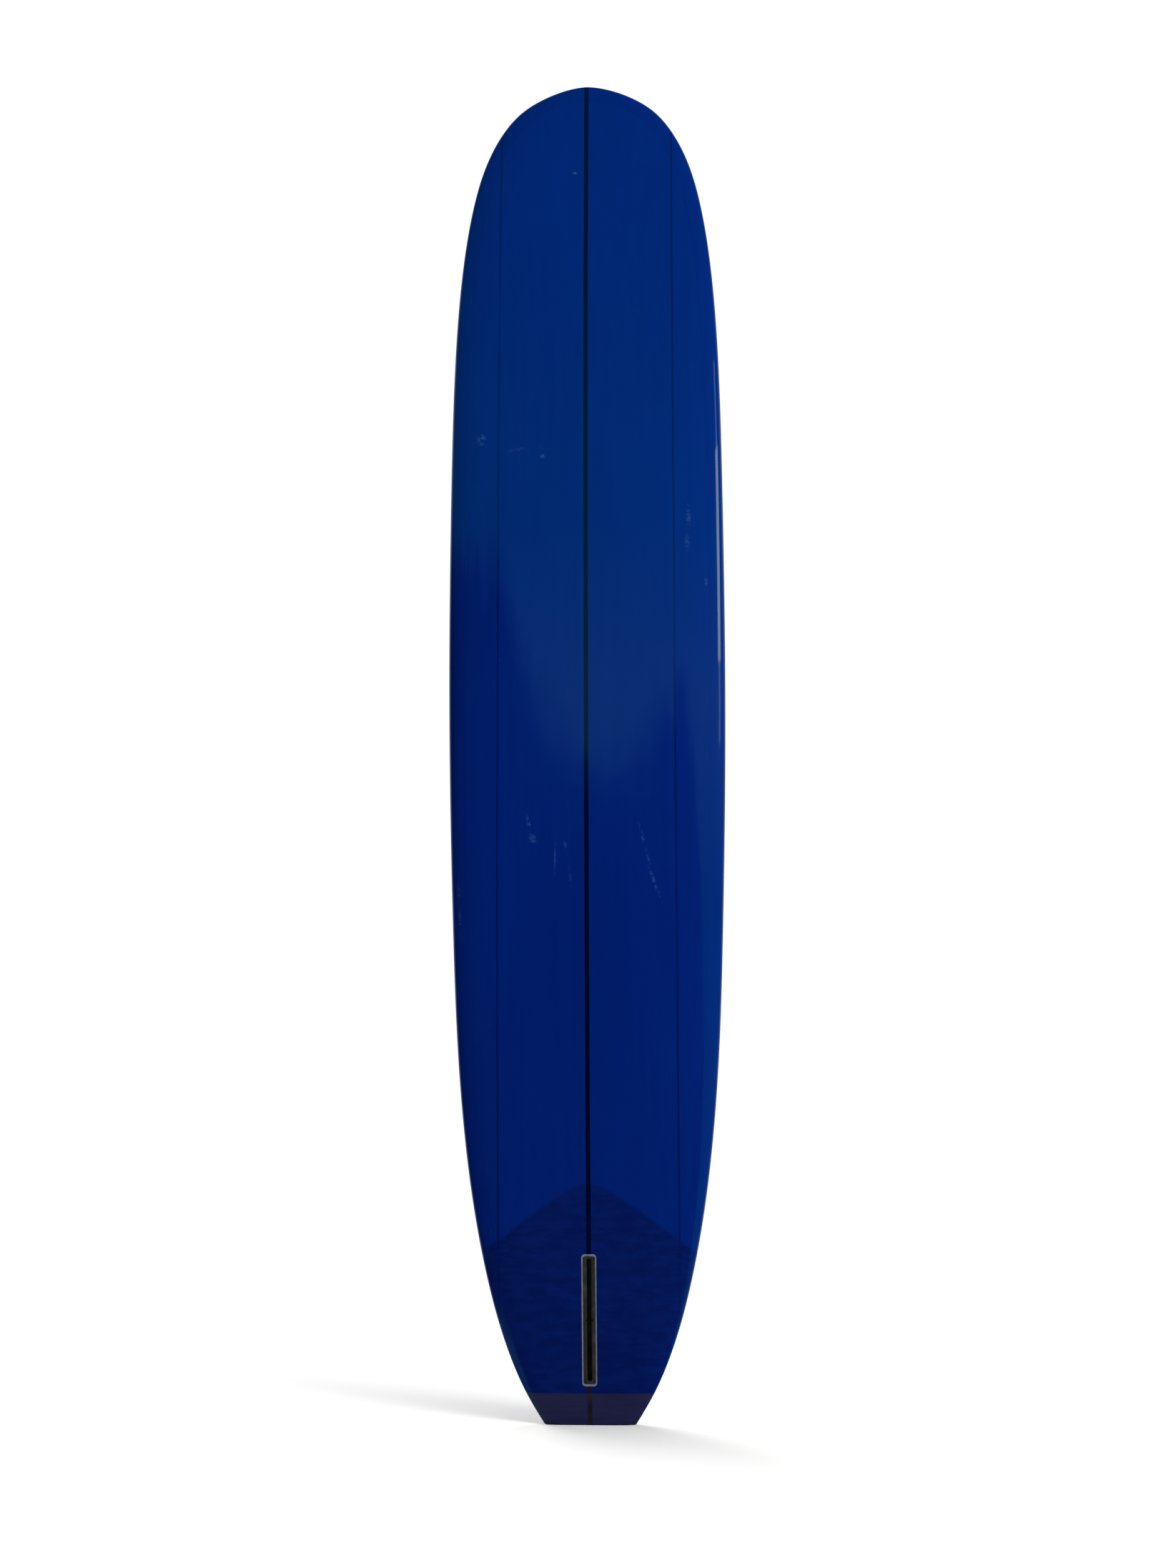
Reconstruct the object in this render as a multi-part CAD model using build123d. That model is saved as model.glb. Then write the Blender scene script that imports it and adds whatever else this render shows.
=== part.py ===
from build123d import *
import math
import os

import numpy as np

# A classic single-fin longboard, 9 ft 6 in long, standing upright on its square tail.
# +Z runs from the tail to the nose, the bottom faces -Y and the deck faces +Y. +X is to the right for
# someone who looks at the bottom. The origin is the middle of the tail's flat end face. Millimetres.

# ---- the hull ----
LENGTH = 2896.0
# half width of the outline at distances from the nose tip: 20 in at a foot from the nose, 23 in at the middle
OUTLINE = [(0, 0), (20, 88.4), (56, 145.5), (96, 180), (196, 228), (305, 254.5), (596, 284), (1000, 292.7),
           (1448, 293), (1896, 283), (2296, 260), (2591, 214), (2746, 170), (2846, 125), (LENGTH, 94.5)]
# thickness on the centreline at distances from the nose tip
THICKNESS = [(0, 0), (4, 14), (16, 22.5), (40, 27.5), (100, 34), (300, 50), (700, 68), (1448, 79),
             (2100, 72.5), (2596, 52), (2796, 36.5), (LENGTH, 24)]
FLAT_SPOT = 1330.0        # height of the lowest point of the rocker, above the tail
NOSE_ROCKER = 98.0
TAIL_ROCKER = 72.0
NOSE_CURVE = 2.5          # how late the nose turns up
TAIL_CURVE = 2.3          # how late the tail turns up
RAIL_LEVEL = 0.42         # the rail's widest line, as a share of the thickness above the bottom
BOTTOM_FLATNESS = 5.0     # a flat bottom that rolls into the rail
DECK_FLATNESS = 3.2       # a domed deck
# distances from the nose tip at which the hull is drawn across
STATIONS = [2, 6, 12, 20, 32, 50, 75, 110, 155, 215, 300, 410, 550, 720, 940, 1200, 1480, 1760, 2020, 2250,
            2430, 2580, 2700, 2790, 2850]
SECTION_POINTS = 15
HAIR = 0.05               # a step short enough to take a slope over

# ---- the build ----
SKIN = 1.6                # bottom and deck glass, with the gloss coat
BLOCK = 65.0              # length of the tail block
LAP = 45.0                # how far the bottom glass wraps onto the deck
STRINGER = 9.5            # 3/8 in
SIDE_STRINGER = 3.2       # 1/8 in
SIDE_STRINGER_X = 187.4
SIDE_STRINGER_ENDS = (216.0, 2774.0)   # where it has run out to the rail
STRINGER_SPANS = 32       # enough that a side stringer's edge stays inside the glue between its points
GLUE = 0.1                # room round a side stringer
PATCH = 0.8               # extra layers of cloth round the fin
PATCH_TOP = 508.0         # where the patch's sides would meet
PATCH_SLOPE = 35.5        # degrees that its sides fall towards the rails
PATCH_ROUND = 81.0
PATCH_INSET = 12.0        # the patch stops this far inside the outline

# ---- the fin box, on a plane that lies along the bottom ----
BOX_MIDDLE = 214.0        # height of its middle above the tail
BOX = (262.0, 25.4, 25.4)     # length, width, depth
BOX_CORNER = 4.0
POT = (271.0, 31.0, 27.0)     # the routed hole that the box is set in
POT_CORNER = 7.0
SLOT = (251.0, 9.5, 20.0)
TRACK = (238.0, 14.0, 3.6)    # side tracks: length, width over both, height
TRACK_DOWN = 7.0              # from the box's top to the tracks
NOTCH = (5.0, 14.0)           # where the fin's pin drops in
PROUD = 6.0                   # cutting tools reach this far out of the surface

# ---- the leash plug, on the deck ----
PLUG_AT = (38.0, 110.0)       # x, z
PLUG_RIM = (14.5, 2.0)        # radius, thickness
PLUG_CUP = (12.5, 19.0)       # radius, depth
PLUG_BORE = (9.5, 17.0)
PLUG_PIN = (1.6, 23.0)        # radius, length
PLUG_PIN_DOWN = 5.0
PLUG_POT = (16.5, 20.5)


def smooth(stations):
    """A natural cubic curve through (distance, value) stations, drawn against the distance's square root,
    so that it starts upright where the nose is round."""
    x = np.sqrt([s for s, _ in stations])
    y = np.array([v for _, v in stations], float)
    gap = np.diff(x)
    system = np.eye(len(x))
    turn = np.zeros(len(x))
    for i in range(1, len(x) - 1):
        system[i, i - 1:i + 2] = gap[i - 1], 2 * (gap[i - 1] + gap[i]), gap[i]
        turn[i] = 6 * ((y[i + 1] - y[i]) / gap[i] - (y[i] - y[i - 1]) / gap[i - 1])
    bend = np.linalg.solve(system, turn)

    def value(distance):
        at = math.sqrt(max(distance, 0))
        i = int(np.clip(np.searchsorted(x, at) - 1, 0, len(gap) - 1))
        before, after, h = at - x[i], x[i + 1] - at, gap[i]
        cubic = (bend[i] * after**3 + bend[i + 1] * before**3) / (6 * h)
        straight = (y[i] / h - bend[i] * h / 6) * after + (y[i + 1] / h - bend[i + 1] * h / 6) * before
        return float(cubic + straight)

    return value


half_width = smooth(OUTLINE)
thickness = smooth(THICKNESS)


def inset(curve, distance, depth):
    """The curve's value at this distance from the nose once it has moved in by depth, square to itself."""
    at = distance
    for _ in range(6):
        slope = math.atan((curve(at + HAIR) - curve(max(at - HAIR, 0))) / (HAIR + min(at, HAIR)))
        at = max(distance - depth * math.sin(slope), 0)
    return max(curve(at) - depth * math.cos(slope), 0)


def rocker(z):
    """How far the bottom has risen towards the deck side at height z."""
    if z > FLAT_SPOT:
        return NOSE_ROCKER * ((z - FLAT_SPOT) / (LENGTH - FLAT_SPOT))**NOSE_CURVE
    return TAIL_ROCKER * ((FLAT_SPOT - z) / FLAT_SPOT)**TAIL_CURVE


def rail_line(z):
    """The y of the hull's widest line, where the bottom and the deck halves meet."""
    bottom = rocker(z) - TAIL_ROCKER - thickness(LENGTH) / 2
    return bottom + RAIL_LEVEL * thickness(LENGTH - z)


def below_rail(distance):
    return RAIL_LEVEL * thickness(distance)


def above_rail(distance):
    return (1 - RAIL_LEVEL) * thickness(distance)


def surface_y(x, z, deck, depth=0.0):
    """The y of the deck, or of the bottom, at a place on the board, or of the surface at a depth under it."""
    distance = LENGTH - z
    across = min(abs(x) / inset(half_width, distance, depth), 1)
    if deck:
        return rail_line(z) + inset(above_rail, distance, depth) * math.sqrt(1 - across**DECK_FLATNESS)
    return rail_line(z) - inset(below_rail, distance, depth) * math.sqrt(1 - across**BOTTOM_FLATNESS)


def section(distance, depth):
    """The closed line round the hull across one station, moved in by depth."""
    z = LENGTH - distance
    half = inset(half_width, distance, depth)
    middle = rail_line(z)
    turns = [-1 + 2 * i / (SECTION_POINTS - 1) for i in range(SECTION_POINTS)]

    def side(height, flatness, way):
        points = []
        for turn in turns:
            across = math.sin(math.pi / 2 * turn)
            rise = height * math.sqrt(1 - abs(across)**flatness)
            points.append((way * half * across, middle - way * rise, z))
        steep = way * height * math.sqrt(flatness) * math.pi / math.sqrt(8)
        ends = [(0, -steep, 0), (0, steep, 0)]
        return Edge.make_spline(points, tangents=ends, parameters=turns, scale=False)

    bottom = side(inset(below_rail, distance, depth), BOTTOM_FLATNESS, 1)
    deck = side(inset(above_rail, distance, depth), DECK_FLATNESS, -1)
    return Wire([bottom, deck])


def hull(depth, foot):
    """The whole hull above z = foot, moved in by depth, as one closed solid."""
    distances = [s + depth for s in STATIONS if s + depth < LENGTH - foot - 20]
    rings = [section(s, depth) for s in [LENGTH - foot] + distances[::-1]]
    tip = LENGTH - depth
    return Solid.make_loft(rings + [Vertex(0, rail_line(tip), tip)])


def plan(depth):
    """The board's outline seen from the bottom, moved in by depth and open-ended past the tail."""
    steps = [0, 3, 12, 30, 60, 110, 190, 320, 520, 800, 1150, 1500, 1850, 2200, 2450, 2620, 2740, LENGTH]
    distances = [min(depth + step, LENGTH) for step in steps]
    right = [(inset(half_width, s, depth), LENGTH - s) for s in distances]
    left = [(-x, z) for x, z in right[:0:-1]]
    edge = Spline(*left, *right)
    foot = Polyline(right[-1], (right[-1][0], -PROUD), (left[0][0], -PROUD), left[0])
    return make_face(edge + foot)


def through(sketch):
    """A sketch of the plan, pushed right through the board."""
    return extrude(Plane.XZ * sketch, LENGTH / 4, both=True)


def deck_side():
    """Everything on the deck's side of the rail line."""
    heights = [-PROUD] + [LENGTH * i / 12 for i in range(1, 12)] + [LENGTH + PROUD]
    line = Spline(*[(rail_line(max(z, 0)), z) for z in heights])
    far = LENGTH / 8
    back = Polyline(line @ 1, (far, LENGTH + PROUD), (far, -PROUD), line @ 0)
    return extrude(Plane.YZ * make_face(line + back), LENGTH / 4, both=True)


def strip(low, high):
    """All the room between two upright planes."""
    return Pos((low + high) / 2, 0, LENGTH / 2) * Box(high - low, LENGTH, LENGTH + 2 * PROUD)


def side_stringer(x):
    """A thin upright strip that follows the bottom and the deck, as high as the foam beside the rail."""
    low, high = SIDE_STRINGER_ENDS
    turns = [math.pi * i / STRINGER_SPANS for i in range(STRINGER_SPANS + 1)]
    heights = [low + (high - low) * (1 - math.cos(turn)) / 2 for turn in turns]
    outer_x = abs(x) + SIDE_STRINGER / 2
    bottom = Spline(*[(surface_y(outer_x, z, False, SKIN + GLUE), z) for z in heights])
    deck = Spline(*[(surface_y(outer_x, z, True, SKIN + GLUE), z) for z in heights])
    ends = Line(bottom @ 0, deck @ 0) + Line(bottom @ 1, deck @ 1)
    return Pos(x, 0, 0) * extrude(Plane.YZ * make_face(bottom + deck + ends), SIDE_STRINGER / 2, both=True)


def lying_on(x, z, deck):
    """A plane on the surface: its x runs up the board and its z points out of the surface."""
    along = (surface_y(x, z + HAIR, deck) - surface_y(x, z - HAIR, deck)) / (2 * HAIR)
    across = (surface_y(x + HAIR, z, deck) - surface_y(x - HAIR, z, deck)) / (2 * HAIR)
    out = 1 if deck else -1
    origin = (x, surface_y(x, z, deck), z)
    return Plane(origin=origin, x_dir=(0, along, 1), z_dir=(-out * across, out, -out * along))


def sunk(sketch, depth, down=0.0):
    """A sketch as a solid from down below its plane to depth below it, or out through the top."""
    top = PROUD if down == 0 else -down
    return Pos(0, 0, -depth) * extrude(sketch, depth + top)


def rod(radius, depth):
    return sunk(Circle(radius), depth)


def wedge():
    """The patch's outline: two straight sides that fall from a rounded point to the rails."""
    run = LENGTH / 8
    fall = run * math.tan(math.radians(PATCH_SLOPE))
    corners = [(-run, -PROUD), (-run, PATCH_TOP - fall), (0, PATCH_TOP), (run, PATCH_TOP - fall), (run, -PROUD)]
    sheet = make_face(Polyline(*corners, close=True))
    return fillet(sheet.vertices().sort_by(Axis.Y)[-1], PATCH_ROUND)


def fin_slot():
    """The slot that the fin's base stands in: square towards the nose, round towards the tail."""
    length, width, depth = SLOT
    straight = Pos(width / 4, 0) * Rectangle(length - width / 2, width)
    tail_end = Pos((width - length) / 2, 0) * Circle(width / 2)
    track_length, track_width, track_height = TRACK
    tracks = sunk(Rectangle(track_length, track_width), TRACK_DOWN + track_height, TRACK_DOWN)
    notch = sunk(Rectangle(*NOTCH), TRACK_DOWN + track_height)
    return sunk(straight + tail_end, depth) + tracks + notch


def one(shape):
    """The single solid that a cut has left."""
    solids = shape.solids()
    assert len(solids) == 1, f"{len(solids)} solids"
    return solids[0]


def build():
    outer = hull(0, 0)
    core = hull(SKIN, BLOCK)
    above_block = Pos(0, 0, BLOCK + LENGTH) * Box(LENGTH, LENGTH, 2 * LENGTH)
    skin = (outer & above_block) - core

    patch = one((core & through(plan(PATCH_INSET) & wedge())) - Pos(0, PATCH, 0) * core)
    filling = core - patch

    length, width, depth = BOX
    at_box = lying_on(0, BOX_MIDDLE, deck=False)
    box_room = at_box * sunk(RectangleRounded(length, width, BOX_CORNER), depth)
    pot = at_box * sunk(RectangleRounded(*POT[:2], POT_CORNER), POT[2])
    fin_box = (box_room & outer) - at_box * fin_slot()

    at_plug = lying_on(*PLUG_AT, deck=True)
    plug_pot = at_plug * rod(*PLUG_POT)
    cup_room = at_plug * (rod(*PLUG_RIM) + rod(*PLUG_CUP))
    radius, reach = PLUG_PIN
    pin = at_plug * (Pos(0, 0, -PLUG_PIN_DOWN) * Rot(90, 0, 0) * Cylinder(radius, reach))
    cup = (cup_room & outer) - at_plug * rod(*PLUG_BORE) - pin

    lapped = through(plan(LAP)) & deck_side()
    half, side = STRINGER / 2, SIDE_STRINGER / 2
    inner, rail = SIDE_STRINGER_X - side, SIDE_STRINGER_X + side
    far = LENGTH / 8

    parts = {
        "foam_core_left": filling & strip(-inner, -half),
        "foam_core_right": filling & strip(half, inner),
        "foam_rail_left": filling & strip(-far, -rail),
        "foam_rail_right": filling & strip(rail, far),
        "centre_stringer": filling & strip(-half, half),
        "left_stringer": side_stringer(-SIDE_STRINGER_X) - patch,
        "right_stringer": side_stringer(SIDE_STRINGER_X) - patch,
        "bottom_laminate": skin - lapped,
        "deck_laminate": skin & lapped,
        "fin_patch": patch,
    }
    for name in ("foam_core_left", "foam_core_right", "centre_stringer", "bottom_laminate", "fin_patch"):
        parts[name] = parts[name] - pot
    for name in ("foam_core_right", "deck_laminate"):
        parts[name] = parts[name] - plug_pot

    block = outer - above_block
    parts["tail_block_left"] = block & strip(-far, -half)
    parts["tail_block_centre"] = block & strip(-half, half)
    parts["tail_block_right"] = block & strip(half, far)
    parts["fin_box"] = fin_box
    parts["fin_box_resin"] = (pot & outer) - box_room
    parts["leash_plug_cup"] = cup
    parts["leash_plug_pin"] = pin
    parts["leash_plug_resin"] = (plug_pot & outer) - cup_room
    return {name: one(shape) for name, shape in parts.items()}


os.makedirs("parts", exist_ok=True)
for name, solid in build().items():
    export_step(solid, f"parts/{name}.step")
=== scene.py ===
import math

import bmesh
import bpy
import numpy as np
from mathutils import Matrix, Vector, kdtree


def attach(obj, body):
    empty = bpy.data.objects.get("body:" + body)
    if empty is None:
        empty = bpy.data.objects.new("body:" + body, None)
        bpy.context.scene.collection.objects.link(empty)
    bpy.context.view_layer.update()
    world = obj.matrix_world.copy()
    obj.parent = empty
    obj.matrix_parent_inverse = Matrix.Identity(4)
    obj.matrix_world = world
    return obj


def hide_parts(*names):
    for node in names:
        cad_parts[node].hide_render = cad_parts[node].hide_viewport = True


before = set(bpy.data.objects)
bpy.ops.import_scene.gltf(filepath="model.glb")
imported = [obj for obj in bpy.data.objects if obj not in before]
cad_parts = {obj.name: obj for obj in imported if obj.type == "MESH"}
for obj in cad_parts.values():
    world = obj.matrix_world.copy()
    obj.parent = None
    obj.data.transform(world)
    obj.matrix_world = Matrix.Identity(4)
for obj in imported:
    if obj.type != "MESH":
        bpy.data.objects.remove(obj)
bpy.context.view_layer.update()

# A glossy blue single-fin longboard that stands on its tail, seen from its bottom side.
# The shape is worked out in millimetres with the same curves as the CAD model, then written in metres.
# +Z runs from the tail to the nose, the bottom faces -Y and +X is to the right as the bottom is seen.

MM = 0.001

# ---- the hull, as in the CAD model ----
LENGTH = 2896.0
OUTLINE = [(0, 0), (20, 88.4), (56, 145.5), (96, 180), (196, 228), (305, 254.5), (596, 284), (1000, 292.7),
           (1448, 293), (1896, 283), (2296, 260), (2591, 214), (2746, 170), (2846, 125), (LENGTH, 94.5)]
THICKNESS = [(0, 0), (4, 14), (16, 22.5), (40, 27.5), (100, 34), (300, 50), (700, 68), (1448, 79),
             (2100, 72.5), (2596, 52), (2796, 36.5), (LENGTH, 24)]
FLAT_SPOT = 1330.0
NOSE_ROCKER = 98.0
TAIL_ROCKER = 72.0
NOSE_CURVE = 2.5
TAIL_CURVE = 2.3
RAIL_LEVEL = 0.42
BOTTOM_FLATNESS = 5.0
DECK_FLATNESS = 3.2

# ---- the build ----
SKIN = 1.6
BLOCK = 65.0
LAP = 45.0
STRINGER = 9.5
BOX = (262.0, 25.4, 25.4)         # length, width, depth
BOX_MIDDLE = 214.0
BOX_CORNER = 4.0
POT = (271.0, 31.0, 27.0)
POT_CORNER = 7.0
SLOT = (251.0, 9.5, 20.0)
TRACK = (238.0, 14.0, 3.6)
TRACK_DOWN = 7.0
NOTCH = (5.0, 14.0)
PLUG_AT = (38.0, 110.0)
PLUG_RIM = (14.5, 2.0)            # radius, thickness
PLUG_CUP = (12.5, 19.0)           # radius, depth
PLUG_BORE = (9.5, 17.0)
PLUG_PIN = (1.6, 23.0)            # radius, length
PLUG_PIN_DOWN = 5.0
PLUG_POT = (16.5, 20.5)

# ---- the mesh ----
CELL = 8.0                        # grid step round the fin box and the leash plug
ROW = 12.0                        # grid step along the rest of the board
FINE_ROWS = (69.0, 357.0)         # heights between which the rows are CELL apart
NOSE_REACH = 400.0                # over this length the rows crowd towards the nose
NOSE_ROWS = 66
INNER = 64.0                      # columns this near the middle keep one distance from it
RAIL_COLUMNS = 24
DECK_COLUMNS = 14
LAP_COLUMNS = 14
BOX_WINDOW = 24.0                 # half width of the grid's opening for the fin box
PLUG_WINDOW = ((16.0, 64.0), (85.0, 133.0))        # the deck grid's opening for the leash plug: x, z
OUTLINE_POINTS = 1500             # points a side that the distance to the outline is taken from
CORNER_STEPS = 8
TURN_STEPS = 64
PIN_STEPS = 24
SAME_PLACE = 0.00001              # metres: points nearer than this are one point


def smooth(stations):
    """The natural cubic curve of the CAD model, drawn against the square root of the distance."""
    x = np.sqrt([s for s, _ in stations])
    y = np.array([v for _, v in stations], float)
    gap = np.diff(x)
    system = np.eye(len(x))
    turn = np.zeros(len(x))
    for i in range(1, len(x) - 1):
        system[i, i - 1:i + 2] = gap[i - 1], 2 * (gap[i - 1] + gap[i]), gap[i]
        turn[i] = 6 * ((y[i + 1] - y[i]) / gap[i] - (y[i] - y[i - 1]) / gap[i - 1])
    bend = np.linalg.solve(system, turn)

    def value(distance):
        at = np.sqrt(np.maximum(distance, 0))
        i = np.clip(np.searchsorted(x, at) - 1, 0, len(gap) - 1)
        before, after, h = at - x[i], x[i + 1] - at, gap[i]
        cubic = (bend[i] * after**3 + bend[i + 1] * before**3) / (6 * h)
        straight = (y[i] / h - bend[i] * h / 6) * after + (y[i + 1] / h - bend[i + 1] * h / 6) * before
        return cubic + straight

    return value


half_width = smooth(OUTLINE)
thickness = smooth(THICKNESS)


def slope_of(curve, distance):
    """The angle at which a curve widens away from the nose."""
    hair = 0.05
    before = np.maximum(distance - hair, 0)
    return np.arctan((curve(distance + hair) - curve(before)) / (distance + hair - before))


def inset(curve, distance, depth):
    """The curve's value at this distance from the nose once it has moved in by depth, square to itself."""
    at = np.asarray(distance, float)
    for _ in range(8):
        at = np.maximum(distance - depth * np.sin(slope_of(curve, at)), 0)
    return np.maximum(curve(at) - depth * np.cos(slope_of(curve, at)), 0)


def rocker(z):
    """How far the hull has curved towards the deck's side at a height above the tail."""
    nose = NOSE_ROCKER * (np.maximum(z - FLAT_SPOT, 0) / (LENGTH - FLAT_SPOT))**NOSE_CURVE
    tail = TAIL_ROCKER * (np.maximum(FLAT_SPOT - z, 0) / FLAT_SPOT)**TAIL_CURVE
    return nose + tail


def rail_line(z):
    """The y of the widest line, where the bottom and the deck halves meet."""
    return rocker(z) - TAIL_ROCKER - thickness(LENGTH) / 2 + RAIL_LEVEL * thickness(LENGTH - z)


def surface_y(x, z, deck):
    """The y of the deck or of the bottom at a place on the board."""
    x, z = np.asarray(x, float), np.asarray(z, float)
    across = np.minimum(np.abs(x) / np.maximum(half_width(LENGTH - z), 1e-6), 1)
    if deck:
        rise = (1 - RAIL_LEVEL) * thickness(LENGTH - z) * np.sqrt(1 - across**DECK_FLATNESS)
        return rail_line(z) + rise
    return rail_line(z) - RAIL_LEVEL * thickness(LENGTH - z) * np.sqrt(1 - across**BOTTOM_FLATNESS)


# ---- mesh helpers ----

def grid_mesh(bm, x, y, z):
    """Adds a grid of points, given as 2-D arrays in mm, with a quad in each cell. Gives the vertices back."""
    rows, columns = x.shape
    verts = [[bm.verts.new((x[i, j] * MM, y[i, j] * MM, z[i, j] * MM)) for j in range(columns)]
             for i in range(rows)]
    for i in range(rows - 1):
        for j in range(columns - 1):
            bm.faces.new((verts[i][j], verts[i][j + 1], verts[i + 1][j + 1], verts[i + 1][j]))
    return verts


def cut_window(bm, is_inside, ring):
    """Removes the quads whose middle is inside a window, and fills from its edge to a ring of points."""
    cut = [f for f in bm.faces if is_inside(f.calc_center_median())]
    boundary = [e for f in cut for e in f.edges if any(g not in cut for g in e.link_faces)]
    bmesh.ops.delete(bm, geom=cut, context="FACES_ONLY")
    loose = [v for v in bm.verts if not v.link_faces and not any(e in boundary for e in v.link_edges)]
    bmesh.ops.delete(bm, geom=loose, context="VERTS")
    verts = [bm.verts.new(p) for p in ring]
    edges = [bm.edges.new((verts[i - 1], verts[i])) for i in range(len(verts))]
    bmesh.ops.triangle_fill(bm, use_beauty=True, edges=edges + [e for e in boundary if e.is_valid])


def as_object(bm, name):
    """Turns a bmesh into a smooth-shaded object in the scene."""
    mesh = bpy.data.meshes.new(name)
    bm.to_mesh(mesh)
    bm.free()
    piece = bpy.data.objects.new(name, mesh)
    bpy.context.scene.collection.objects.link(piece)
    mesh.shade_smooth()
    return piece


def finish_mesh(bm, name, sharp):
    """Turns a bmesh into an object whose faces look outwards. Edges of over sharp degrees stay crisp."""
    bmesh.ops.remove_doubles(bm, verts=bm.verts, dist=SAME_PLACE)
    bmesh.ops.recalc_face_normals(bm, faces=bm.faces)
    piece = as_object(bm, name)
    piece.data.set_sharp_from_angle(angle=math.radians(sharp))
    return piece


def thicken(piece, depth):
    """Gives a sheet its thickness, inwards, and applies it."""
    shell = piece.modifiers.new("thickness", "SOLIDIFY")
    shell.thickness = depth * MM
    shell.offset = -1
    shell.use_even_offset = True
    with bpy.context.temp_override(object=piece, active_object=piece, selected_objects=[piece]):
        bpy.ops.object.modifier_apply(modifier=shell.name)
    piece.data.set_sharp_from_angle(angle=math.radians(40))


def mark_hull(piece):
    """Stores, for the materials, how far each point is inside the outline and whether it is underneath."""
    outline = kdtree.KDTree(2 * OUTLINE_POINTS)
    for i in range(OUTLINE_POINTS):
        distance = LENGTH * (i / (OUTLINE_POINTS - 1))**2
        for side in (-1, 1):
            outline.insert((side * half_width(distance), 0, LENGTH - distance), i)
    outline.balance()
    mesh = piece.data
    inside = mesh.attributes.new("inside", "FLOAT", "POINT")
    under = mesh.attributes.new("under", "FLOAT", "POINT")
    for vertex in mesh.vertices:
        x, y, z = (c / MM for c in vertex.co)
        inside.data[vertex.index].value = outline.find((x, 0, z))[2]
        under.data[vertex.index].value = float(y < rail_line(z) + 0.01)


# ---- the glass ----

def rows():
    """Heights of the grid's rows from the tail block up, as distances from the nose."""
    foot, top = FINE_ROWS
    rest = LENGTH - NOSE_REACH - top
    steps = round(rest / ROW)
    low = [BLOCK] + list(np.arange(foot, top + 1, CELL))
    middle = [top + rest * i / steps for i in range(1, steps + 1)]
    tip = [LENGTH - (math.sqrt(NOSE_REACH) * (1 - i / NOSE_ROWS))**2 for i in range(1, NOSE_ROWS + 1)]
    return LENGTH - np.array(low + middle + tip)


def columns(half, full_at, outer, curve):
    """x across each row: evenly spaced near the middle, then outer columns out to the row's half width.
    In rows narrower than full_at, the middle columns close up in proportion."""
    scale = np.minimum(1, half / full_at)[:, None]
    inner = np.arange(-INNER, INNER + 1, CELL)[None, :] * scale
    share = curve(np.arange(1, outer + 1) / outer)[None, :]
    right = INNER * scale + (half[:, None] - INNER * scale) * share
    return np.hstack([-right[:, ::-1], inner, right])


def lap_edge(distance):
    """The point LAP inside the outline that belongs to a point of the outline: its x and its z."""
    at = distance + LAP * np.maximum(np.sin(slope_of(half_width, distance)), 0)
    return inset(half_width, at, LAP), LENGTH - at


def rounded_rectangle(length, width, tail_corner, nose_corner, stations):
    """Points (u, v) round a slot-like outline: up the side where v is positive, round the nose end, down
    the other side and round the tail end. stations are the u of the points on the long sides, rising."""

    def corner(end, radius, across, start):
        centre_u = end - math.copysign(radius, end)
        centre_v = across * (width / 2 - radius)
        turns = [math.radians(start - 90 * i / CORNER_STEPS) for i in range(CORNER_STEPS + 1)]
        return [(centre_u + radius * math.cos(t), centre_v + radius * math.sin(t)) for t in turns]

    nose, tail = length / 2, -length / 2
    up = [(u, width / 2) for u in stations]
    down = [(u, -width / 2) for u in reversed(stations)]
    nose_end = corner(nose, nose_corner, 1, 90) + corner(nose, nose_corner, -1, 0)
    tail_end = corner(tail, tail_corner, -1, -90) + corner(tail, tail_corner, 1, -180)
    return up + nose_end + down + tail_end


# the fin box lies along the bottom: u runs up the board, v across it and depth goes in
LEAN_SPAN = 0.1
BOX_RISE = surface_y(0, BOX_MIDDLE + LEAN_SPAN / 2, False) - surface_y(0, BOX_MIDDLE - LEAN_SPAN / 2, False)
BOX_LEAN = math.atan(BOX_RISE / LEAN_SPAN)
SIDE_REACH = TRACK[0] / 2 - 1     # the points on the box's long sides run this far from its middle
SIDE_STEPS = 30
SIDE_STATIONS = [-SIDE_REACH + 2 * SIDE_REACH * i / SIDE_STEPS for i in range(SIDE_STEPS + 1)]


def in_bottom(u, v, depth):
    """A place in the fin box as a point in metres."""
    x = -v
    z = BOX_MIDDLE + u * math.cos(BOX_LEAN)
    y = surface_y(x, z, False)
    return Vector((x, y + depth * math.cos(BOX_LEAN), z - depth * math.sin(BOX_LEAN))) * MM


def in_deck(radius, angle, depth):
    """A place round the leash plug as a point in metres."""
    x = PLUG_AT[0] + radius * math.cos(angle)
    z = PLUG_AT[1] + radius * math.sin(angle)
    return Vector((x, surface_y(x, z, True) - depth, z)) * MM


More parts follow.
